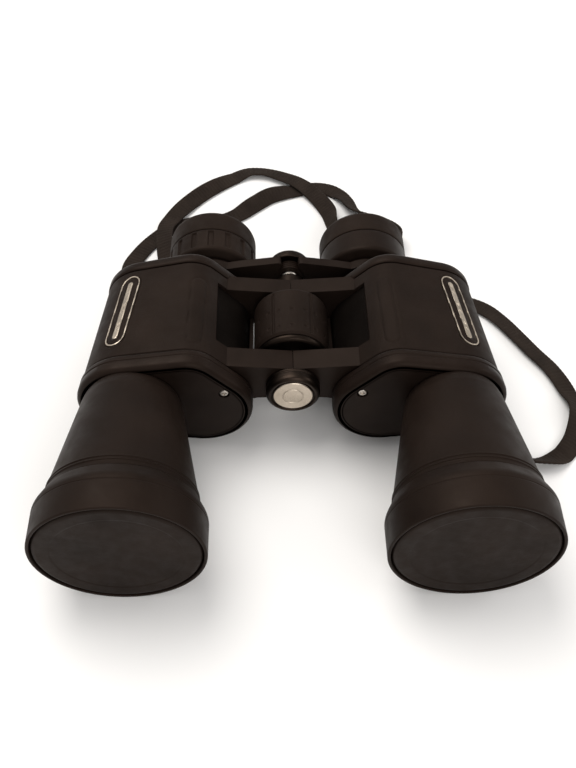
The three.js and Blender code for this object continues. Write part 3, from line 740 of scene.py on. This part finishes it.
def make_body(word):
    side = SIDES[word]
    half = f"{word}_half"
    tube = (side * OBJECTIVE[0], OBJECTIVE[1])
    eye = (side * EYE[0], EYE[1])

    # Casting: a shell under the armour, with the two hinge arms standing out of it. Its near-black colour
    # paints in the shade between the hinge arms.
    casting = body_shell(
        f"{word}_casting", side, [(ARMOUR_FRONT + 0.4, -1.8), (42.2, -1.8)], 3.6, BLACK_AND_PAINTED_SHADE, count=120,
    )
    place(casting, half, "body_paint", f"{word}_housing")
    for number, span in enumerate((FRONT_ARM, REAR_ARM)):
        arm = make_arm(side, span)
        fill = [(x * side, z) for x, z, _, _ in belt((span[0] + span[1]) / 2, -2.2, 90)]
        combine(arm, [slab("tool", fill, span[0] - 5, span[1] + 5, PAINT, 0)], "DIFFERENCE")
        bevelled(arm, 0.4)
        arm.name = f"{word}_{'front' if number == 0 else 'rear'}_arm"
        place(arm, half, "body_paint")

    # Armour with the thumb panel and the badge's recess.
    stations = stations_between(ARMOUR_FRONT, ARMOUR_BACK - GAP, 0)
    armour = body_shell(f"{word}_armour_skin", side, stations, 1.5, RUBBER, armour_lift, 300)
    tools = []
    for y0, y1 in (FRONT_ARM, REAR_ARM):
        tools.append(slab("tool", arm_outline(side, 0.3), y0 - 0.3, y1 + 0.3, PAINT, 0))
    inner, outer = sorted((0, side * BARE_FLANK_X))
    tools.append(block((inner, FRONT_ARM[1], BARE_FLANK_Z), (outer, REAR_ARM[0], 60)))
    lug_low, lug_high = node_box(f"{word}_strap_lug")
    grow = Vector((0.3, 0.3, 0.3))
    tools.append(block(lug_low - grow, lug_high + grow))
    combine(armour, tools, "DIFFERENCE")
    tidy(armour, 38)
    place(armour, half, "rubber", f"{word}_armour")

    make_badge(word)

    # Front cover: a rounded rim band with a fine groove, and its flat front.
    band = [(COVER_FRONT, -1.3), (COVER_FRONT + 0.3, -0.7), (COVER_FRONT + 0.8, -0.1)]
    band += [(COVER_FRONT + 1.5, 0.4), (COVER_FRONT + 2.4, 0.6)]
    band += [(-13.2, 0.6), (-12.9, 0.35), (-12.5, 0.35), (-12.2, 0.6)]
    band += [(-10.8, 0.6), (-10.2, 0.4), (ARMOUR_FRONT - GAP, 0)]
    cover = body_shell(f"{word}_front_band", side, band, 3.6, PAINT)
    place(cover, half, "body_paint", f"{word}_front_cover")
    plate = face_plate(f"{word}_front_plate", side, COVER_FRONT, COVER_FRONT + 2.4, PAINT)
    screw = screw_place(word)
    combine(plate, [rod(tube, 17.3, -30, 0), rod(screw, 2.3, -20, -15)], "DIFFERENCE")
    tidy(plate)
    place(plate, half, "body_paint")
    make_screw(word)

    # Rear cover: its rim band and the plate round the eyepiece.
    band = [(ARMOUR_BACK, 0), (ARMOUR_BACK + 0.4, 0.35), (ARMOUR_BACK + 1, 0.5), (44.6, 0.5), (45.4, 0.2)]
    band += [(46, -0.3), (46.35, -0.8), (COVER_BACK, -1.3)]
    cover = body_shell(f"{word}_rear_band", side, band, 1.5, PAINT)
    tools = [slab("tool", arm_outline(side, 0.3), REAR_ARM[0] - 0.3, REAR_ARM[1] + 0.3, PAINT, 0)]
    tools.append(block(lug_low - grow, lug_high + grow))
    combine(cover, tools, "DIFFERENCE")
    tidy(cover, 38)
    place(cover, half, "body_paint", f"{word}_rear_cover")
    plate = face_plate(f"{word}_rear_plate", side, COVER_BACK, 42.8, PAINT)
    combine(plate, [rod(eye, 13.3, 30, 60)], "DIFFERENCE")
    tidy(plate)
    place(plate, half, "body_paint")

    make_lug(word)
    make_objective(word, tube)
    make_eyepiece(word, eye)


def face_plate(name, side, y_face, y_back, material):
    """A flat plate inside a cover's rim, its face flush with the rim and its edge sunk by a fine groove."""
    rings = []
    step = 0.25 if y_back > y_face else -0.25
    groove = [(y_face, -2.6), (y_face + step, -2.75), (y_face + step, -3.0), (y_face, -3.15)]
    for y, grow in [(y_face, -1.32)] + groove:
        rings.append([(side * x, y, z) for x, z, _, _ in belt(y_face, grow)])
    back = [(side * x, y_back, z) for x, z, _, _ in belt(y_face, -1.32)]
    points = [p for ring in rings for p in ring] + back
    count = len(back)
    faces = []
    for i in range(len(rings) - 1):
        for j in range(count):
            k = (j + 1) % count
            faces.append((i * count + j, i * count + k, (i + 1) * count + k, (i + 1) * count + j))
    last = (len(rings) - 1) * count
    faces.append(tuple(range(last, last + count)))
    for j in range(count):
        k = (j + 1) % count
        faces.append((j, k, last + count + k, last + count + j))
    faces.append(tuple(range(last + count, last + 2 * count)))
    return mesh_object(name, points, faces, material, 30)


def screw_place(word):
    low, high = node_box(f"{word}_cover_screw")
    return ((low.x + high.x) / 2, (low.z + high.z) / 2)


def make_screw(word):
    """A countersunk cross-head screw."""
    centre = screw_place(word)
    y = COVER_FRONT + 0.3
    head = [(0, y), (1.5, y + 0.05), (2.05, y + 0.5), (1.7, y + 1.6), (0, y + 1.6)]
    screw = turned(f"{word}_screw", head, centre, STEEL, 0.15, 40)
    arms = []
    for along, across in ((1.15, 0.28), (0.28, 1.15)):
        low = (centre[0] - along, y - 1, centre[1] - across)
        high = (centre[0] + along, y + 0.6, centre[1] + across)
        arms.append(block(low, high))
    combine(screw, arms, "DIFFERENCE")
    tidy(screw, 30)
    place(screw, f"{word}_half", "bright_metal", f"{word}_cover_screw")


def make_badge(word):
    """A plain badge: a raised silver rim round a dark field, with a silver bar along its middle."""
    side = SIDES[word]
    for name, inner, outer, base, top, material in (
        ("field", 0.0, 4.7, -0.5, 0.0, PAINT),
        ("rim", 4.4, 5.0, -0.5, 0.28, SILVER),
        ("bar", 0.0, 1.3, -0.1, 0.22, SILVER),
    ):
        badge = badge_piece(f"{word}_badge_{name}", side, inner, outer, base, top, material)
        nodes = [f"{word}_badge"] if name == "rim" else []
        place(badge, f"{word}_half", "badge", *nodes)


def badge_point(side, u, v, height):
    """A point on the flank, u along the badge and v across it, at a height above the armour."""
    y = BADGE["y"] + u
    want = BADGE["x"] + BADGE["slope"] * u + v / 1.28
    ring = [p for p in belt_cache(y) if p[1] > 30]
    near = min(ring, key=lambda p: abs(p[0] - want))
    return (side * (near[0] + near[2] * height), y, near[1] + near[3] * height)


BELTS = {}


def belt_cache(y):
    key = round(y, 2)
    if key not in BELTS:
        BELTS[key] = belt(key, 0, 1500)
    return BELTS[key]


def stadium_line(radius, count=30):
    """The outline of a stadium of this radius whose straight sides are the badge's."""
    reach = BADGE["half"] - BADGE["radius"]
    line = []
    for i in range(count):
        angle = math.pi * i / (count - 1)
        line.append((reach + radius * math.sin(angle), radius * math.cos(angle)))
    line += [(reach - 2 * reach * i / 30, -radius) for i in range(1, 30)]
    for i in range(count):
        angle = math.pi * i / (count - 1)
        line.append((-reach - radius * math.sin(angle), -radius * math.cos(angle)))
    line += [(-reach + 2 * reach * i / 30, radius) for i in range(1, 30)]
    return line


def badge_piece(name, side, inner, outer, base, top, material):
    """A stadium ring or plate that follows the flank, with softened upper edges."""
    radii = [(outer, base), (outer, top - 0.08), (outer - 0.08, top)]
    if inner:
        radii += [(inner + 0.08, top), (inner, top - 0.08), (inner, base)]
    else:
        radii += [(outer * 0.5, top), (0.02, top), (0.02, base), (outer * 0.5, base)]
    rings = []
    for radius, height in radii:
        rings.append([badge_point(side, u, v, height) for u, v in stadium_line(radius)])
    count = len(rings[0])
    points = [p for ring in rings for p in ring]
    faces = []
    for i in range(len(rings)):
        m = (i + 1) % len(rings)
        for j in range(count):
            k = (j + 1) % count
            faces.append((i * count + j, i * count + k, m * count + k, m * count + j))
    return mesh_object(name, points, faces, material, 50)


def make_lug(word):
    low, high = node_box(f"{word}_strap_lug")
    lug = block(low, high)
    lug.name = f"{word}_lug"
    side = SIDES[word]
    slot = sorted((side * 76, side * 80.7))
    combine(lug, [block((slot[0], low.y + 1, 0), (slot[1], high.y - 1, 60))], "DIFFERENCE")
    lug.data.materials.clear()
    lug.data.materials.append(ANODISED)
    bevelled(lug, 0.45)
    place(lug, f"{word}_half", "dark_metal", f"{word}_strap_lug")


# ------------------------------------------------------------------ objectives
def make_objective(word, tube):
    half = f"{word}_half"
    flare = [(15.4, -14.5), (17, -14.5), (17, COVER_FRONT - GAP), (18.4, COVER_FRONT - GAP), (19.4, -20.2)]
    flare += [(20.4, -23.4), (28.35, -64.4), (28.75, -64.5), (28.85, -65.0), (28.5, -65.2), (28.5, -65.7)]
    flare += [(28.95, -65.9), (29.05, -66.5), (28.7, -66.7), (28.8, -67.6), (29.1, -68.7), (27.2, -68.7)]
    flare += [(27.2, -85.4), (25.9, -85.4), (25.9, -76), (24.6, -76), (24.6, -70), (15.4, -20)]
    piece = turned(f"{word}_tube", flare, tube, TUBE_PAINT, 0.35, 144, sharp=50)
    place(piece, half, "body_paint", f"{word}_objective_tube")

    ring = [(27.5, -69), (29.6, -69), (30.0, -69.8), (RING_R - 0.4, -73.9), (RING_R, -75.2)]
    ring += [(RING_R, -76.6), (RING_R - 0.18, -76.9), (RING_R, -77.2), (RING_R, FRONT + 0.1)]
    ring += [(31.2, FRONT), (31.2, -85.8), (29.2, -85.8), (29.2, -83), (27.5, -83)]
    piece = turned(f"{word}_ring", ring, tube, TUBE_PAINT, 0.7, 160, sharp=50)
    place(piece, half, "body_paint", f"{word}_objective_ring")

    cap = [(0, FRONT + 0.25), (24, FRONT + 0.25), (24.6, FRONT + 0.1), (29.2, FRONT), (30.3, FRONT + 0.35)]
    cap += [(30.8, FRONT + 1.5), (30.8, -86.2), (28.9, -86.2), (28.9, -83.4), (27.6, -83.4)]
    cap += [(27.6, -86.2), (0, -86.2)]
    piece = turned(f"{word}_cap_disc", cap, tube, CAP_PLASTIC, 0.6, 144, sharp=50)
    place(piece, f"{word}_cap", "cap_plastic", f"{word}_objective_cap")

    doublet = [(0, -83.8), (7, -83.65), (13, -83.2), (19, -82.3), (25.5, -80.8)]
    doublet += [(25.5, -76.3), (13, -76.6), (0, -76.9)]
    piece = turned(f"{word}_doublet", doublet, tube, LENS, 0.4, 96)
    place(piece, half, "glass", f"{word}_objective_doublet")
    retainer = [(24.4, -85.2), (25.6, -85.2), (25.6, -81.2), (24.4, -81.2)]
    piece = turned(f"{word}_retainer", retainer, tube, BLACK_AND_PAINTED_SHADE, 0.2, 96)
    place(piece, half, "dark_metal", f"{word}_lens_retainer")


# ------------------------------------------------------------------ eyepieces
def make_eyepiece(word, eye):
    left = word == "left"
    moving = f"{word}_eyepiece"
    ocular = "left_ocular" if left else moving
    cup_body = "dioptre" if left else moving

    guide = [(11.6, 43), (13, 43), (13, 60), (11.6, 60)]
    piece = turned(f"{word}_guide", guide, eye, ANODISED, 0.25, 96)
    place(piece, f"{word}_half", "bright_metal", f"{word}_eyepiece_guide")

    barrel = [(13.3, 51), (14.5, 51), (15, 51.5), (15, 59.8), (14.7, 60), (14.7, 60.6), (15, 60.8)]
    if left:
        barrel += [(15, 75.6), (12, 75.6)]
    else:
        barrel += [(15, 62.2), (16.2, 62.3), (17.2, 62.7), (19.4, 63.5), (20.1, 64), (EYECUP_R, 65)]
        barrel += [(EYECUP_R, 75.9), (EYECUP_R - 0.4, 76.5), (12, 76.5)]
    barrel += [(12, 68.6), (12.9, 68.6), (12.9, 64.4), (13.3, 64.4)]
    piece = turned(f"{word}_barrel", barrel, eye, PAINT, 0.4, 128, sharp=50)
    place(piece, moving, "dark_metal", f"{word}_eyepiece_barrel")

    lens = [(0, 64.2), (4, 64.35), (8, 64.8), (12.7, 65.8), (12.7, 67.6), (0, 67.6)]
    place(turned(f"{word}_field", lens, eye, LENS, 0.3, 72), moving, "glass", f"{word}_field_lens")
    cell = [(10, 70), (11.6, 70), (11.6, 83.2), (11, 83.4), (10.6, 83.2), (10.2, 82.6), (10, 82.4)]
    place(turned(f"{word}_cell", cell, eye, BLACK_AND_PAINTED_SHADE, 0.2, 96), ocular, "dark_metal", f"{word}_ocular_cell")
    lens = [(0, 77.6), (5, 78), (9.7, 79.4), (9.7, 81.2), (7.5, 81.8), (5, 82.15), (2.5, 82.35), (0, 82.4)]
    place(turned(f"{word}_eye_glass", lens, eye, LENS, 0.3, 72), ocular, "glass", f"{word}_eye_lens")

    cup = [(12.2, 76.9), (EYECUP_R - 0.3, 76.9), (EYECUP_R, 77.5), (EYECUP_R, 86.9), (EYECUP_R - 0.45, 88.3)]
    cup += [(EYECUP_R - 1.3, BACK), (18.3, BACK), (17.6, 88.4), (17.3, 86), (17.9, 84.8), (17.3, 83.6)]
    cup += [(17.2, 80.6), (16.4, 79.9), (12.2, 79.4)]
    piece = turned(f"{word}_cup", cup, eye, SOFT_RUBBER, 0.6, 128, sharp=50)
    place(piece, cup_body, "rubber", f"{word}_eyecup")

    if left:
        make_dioptre(eye)


def make_dioptre(eye):
    """The ribbed ring: broad ribs with narrow notches between them, fading out at both ends."""
    ribs = 16

    def shape(angle, r, y):
        if r < 17 or not 64.6 < y < 76.2:
            return r
        turn = (angle * ribs / (2 * math.pi)) % 1
        across = min(turn, 1 - turn) * 2 * math.pi * EYECUP_R / ribs
        notch = inside(across - 1.15, 0.25)
        ends = inside(65.7 - y, 0.4) * inside(y - 75.1, 0.4)
        return r - 0.85 * notch * ends

    ring = [(15.3, 62.4), (16.3, 62.4), (17.2, 62.7), (19.4, 63.5), (20.1, 64), (EYECUP_R, 64.9)]
    ring += [(EYECUP_R, 65.4), (EYECUP_R, 65.9), (EYECUP_R, 66.4), (EYECUP_R, 74.6), (EYECUP_R, 75.1)]
    ring += [(EYECUP_R, 75.5), (EYECUP_R, 76), (EYECUP_R - 0.4, 76.5), (15.3, 76.5)]
    piece = turned("dioptre_grip", ring, eye, SOFT_RUBBER, 0.25, 640, shape, 50)
    place(piece, "dioptre", "rubber", "dioptre_ring")


for word in SIDES:
    make_body(word)


# ------------------------------------------------------------------ focus wheel
def make_wheel():
    front, back = WHEEL_FRONT, WHEEL_BACK
    core = [(6.3, front), (13.6, front), (14.6, front + 0.4), (15.2, front + 1.4), (15.2, front + 2.3)]
    core += [(12.4, front + 2.3), (12.4, back), (6.3, back)]
    piece = turned("wheel_core", core, HINGE, ANODISED, 0.35, 128)
    place(piece, "focus_wheel", "bright_metal", "focus_wheel_core")

    pads = 6

    def shape(angle, r, y):
        if r < 14.5:
            return r
        turn = (angle * pads / (2 * math.pi) + 0.5) % 1 - 0.5
        across = turn * 2 * math.pi * WHEEL_R / pads
        half = math.pi * WHEEL_R / pads
        length = inside(abs(y - (front + back) / 2 - 1.2) - 11.2, 0.4)
        groove = inside(half - abs(across) - 0.55, 0.22) * length
        dimple = 0
        for column in (-5.9, 0, 5.9):
            for row in (front + 7.4, front + 16.4):
                reach = math.hypot(across - column, (y - row) * 1.1)
                dimple = max(dimple, 1 - reach / 0.95)
        return r - 0.75 * groove - 0.55 * max(dimple, 0)

    lines = [(15.2 + 0.8 * min(k / 3, 1), front + 2.7 + 0.35 * k) for k in range(4)]
    steps = 70
    start, end = front + 4.1, back - 1.2
    lines += [(16, start + (end - start) * k / steps) for k in range(steps + 1)]
    tyre = [(12.7, front + 2.7)] + lines + [(15.8, back - 0.6), (15.2, back), (12.7, back)]
    piece = turned("wheel_tyre", tyre, HINGE, RUBBER, 0.0, 420, shape, 50)
    place(piece, "focus_wheel", "rubber", "focus_wheel_tyre")


def make_hinge():
    cap = [(0, -15.0), (8.2, -15.0), (8.5, -14.6), (8.9, -14.6), (9.2, -15.1), (9.9, -15.2), (10.9, -14.4)]
    cap += [(11.2, -13.4), (11.2, -11.2), (10.9, -11), (10.9, -10.5), (11.2, -10.3), (11.2, -9.6)]
    cap += [(10.6, -9.3), (2.9, -9.3), (2.9, -2), (0, -2)]
    piece = turned("hinge_cap", cap, HINGE, ANODISED, 0.25, 112, sharp=50)
    place(piece, "hinge_cap", "dark_metal", "hinge_front_cap")
    disc = [(0, -15.2), (3.9, -15.2), (4.05, -15.05), (4.35, -15.05), (4.5, -15.2), (7.0, -15.25)]
    disc += [(7.9, -15.3), (8.2, -15.02), (7.9, -14.9), (0, -14.9)]
    piece = turned("hinge_cap_plate", disc, HINGE, SILVER, 0.08, 96, sharp=50)
    place(piece, "hinge_cap", "badge")

    axle = [(5.1, -8.7), (6, -8.7), (6, 43), (4, 43), (4, 3), (3.4, 2), (3.4, -0.4), (5.1, -0.4)]
    piece = turned("axle", axle, HINGE, STEEL, 0.2, 72)
    slot_low, slot_high = 22 - 4.1, 22 + 6.4
    combine(piece, [block((-1.3, slot_low, HINGE_Z - 9), (1.3, slot_high, HINGE_Z + 9))], "DIFFERENCE")
    tidy(piece)
    place(piece, "left_half", "steel", "hinge_axle")

    nut = [(4, 43.3), (6.3, 43.3), (6.3, 49.7), (6.1, 50.4), (5.6, 51.0), (4.8, 51.3), (4, 51.3)]
    piece = turned("rear_nut", nut, HINGE, ANODISED, 0.25, 72, sharp=50)
    place(piece, "left_half", "dark_metal", "hinge_rear_nut")


BRIDGE_OUTLINE = [(3.75, 9), (12, 7.8), (22, 6.4), (32, 4.4), (32, -9), (22, -6), (12, -3.2), (3.75, -5)]


def make_bridge(word):
    side = SIDES[word]
    eye = (side * EYE[0], EYE[1])
    outline = [(side * x, HINGE_Z + z) for x, z in softened(BRIDGE_OUTLINE, 2, True, 4)]
    arm = slab(f"{word}_bridge", outline, BRIDGE_FRONT, BRIDGE_BACK, PAINT, 0)
    combine(arm, [rod(HINGE, 6.6, 50, 60)], "DIFFERENCE")
    thick = (BRIDGE_BACK - BRIDGE_FRONT - 3 * GAP) / 4
    for i in range(4):
        if (i % 2 == 0) == (side < 0):
            y0 = BRIDGE_FRONT + i * (thick + GAP)
            neck = [(side * x, HINGE_Z + z) for x, z in ((2.5, 3), (7.5, 4.5), (7.5, -3), (2.5, -3))]
            tools = [rod(HINGE, 6.3, y0, y0 + thick), slab("tool", neck, y0, y0 + thick, PAINT, 0)]
            combine(arm, tools, "UNION")
    combine(arm, [rod(eye, 18, BRIDGE_FRONT, BRIDGE_BACK, 120)], "UNION")
    combine(arm, [rod(HINGE, 3.9, 40, 70), rod(eye, 15.3, 40, 70, 120)], "DIFFERENCE")
    bevelled(arm, 0.3, 2)
    place(arm, f"{word}_eyepiece", "body_paint", f"bridge_{word}_arm")


def make_spindle():
    low, high = node_box("focus_spindle")
    line = [(0, 12), (3, 12), (3.6, 12.6)]
    y = 13.0
    while y < high.y - 1:
        line += [(3.6, y), (3.3, y + 0.5)]
        y += 1.0
    line += [(3.6, high.y), (0, high.y)]
    spindle = turned("spindle", line, HINGE, STEEL, 0, 72)
    turns = [2 * math.pi * k / 24 for k in range(24)]
    pin = slab("tool", [(math.sin(a), 22 + math.cos(a)) for a in turns], -8.8, 8.8, STEEL, 0)
    for vertex in pin.data.vertices:
        x, y, z = vertex.co / MM
        vertex.co = Vector((x, z, HINGE_Z + y)) * MM
    combine(spindle, [pin], "UNION")
    tidy(spindle)
    place(spindle, "left_eyepiece", "steel", "focus_spindle")
    cap = [(0, 61.9), (3.9, 61.9), (3.9, 58.9), (8.9, 58.9), (9.3, 59.3), (9.3, 61.9), (8.8, 62.8)]
    cap += [(7.6, 63.3), (5, 63.6), (0, 63.6)]
    piece = turned("bridge_cap", cap, HINGE, ANODISED, 0.3, 96, sharp=50)
    place(piece, "left_eyepiece", "dark_metal", "bridge_end_cap")


make_wheel()
make_hinge()
for word in SIDES:
    make_bridge(word)
make_spindle()


# ------------------------------------------------------------------ carried-over CAD nodes
CARRIED = {
    "tripod_socket": BRASS,
    **{f"{word}_prism_shelf": BLACK_AND_PAINTED_SHADE for word in SIDES},
    **{f"{word}_{name}_prism": PRISM_GLASS for word in SIDES for name in ("rear", "front")},
}
for node, material in CARRIED.items():
    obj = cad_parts[node]
    obj.data.materials.clear()
    obj.data.materials.append(material)


# ------------------------------------------------------------------ table and light
def make_table():
    mesh = bpy.data.meshes.new("table")
    reach, back, height, curve = 3.0, 2.2, 2.0, 0.6
    profile = [(-reach, 0), (back - curve, 0)]
    for k in range(1, 17):
        turn = math.pi / 2 * k / 16
        profile.append((back - curve + curve * math.sin(turn), curve - curve * math.cos(turn)))
    profile.append((back, height))
    points = [(x, y, z) for y, z in profile for x in (-reach, reach)]
    faces = [(2 * i, 2 * i + 1, 2 * i + 3, 2 * i + 2) for i in range(len(profile) - 1)]
    mesh.from_pydata(points, [], faces)
    for polygon in mesh.polygons:
        polygon.use_smooth = True
    table = bpy.data.objects.new("table", mesh)
    bpy.context.collection.objects.link(table)
    n = Nodes("table_white")
    white = n.ramp(n.noise(3, 2), [(0.2, (0.86, 0.855, 0.85)), (0.8, (0.9, 0.895, 0.89))])
    n.link(white, n.shader.inputs["Base Color"])
    n.set(Roughness=0.6, Specular_IOR_Level=0.3)
    mesh.materials.append(n.material)


def area_light(name, at, target, size, power, colour=(1, 1, 1)):
    data = bpy.data.lights.new(name, "AREA")
    data.shape = "DISK"
    data.size = size
    data.energy = power
    data.color = colour
    light = bpy.data.objects.new(name, data)
    light.location = at
    light.rotation_euler = (Vector(target) - Vector(at)).to_track_quat("-Z", "Y").to_euler()
    bpy.context.collection.objects.link(light)


make_table()
area_light("key", (-0.35, 0.35, 1.1), (0, 0, 0), 0.9, 10, (1, 0.97, 0.93))
area_light("front", (0.3, -1.1, 0.8), (0, 0, 0.02), 0.8, 5, (1, 0.98, 0.96))
area_light("side", (1.1, 0.1, 0.6), (0, 0, 0.02), 0.6, 2.5)

world = bpy.data.worlds.new("world")
world.use_nodes = True
world.node_tree.nodes["Background"].inputs["Color"].default_value = (1, 0.985, 0.97, 1)
world.node_tree.nodes["Background"].inputs["Strength"].default_value = 0.66
bpy.context.scene.world = world
bpy.context.scene.view_settings.view_transform = "Standard"
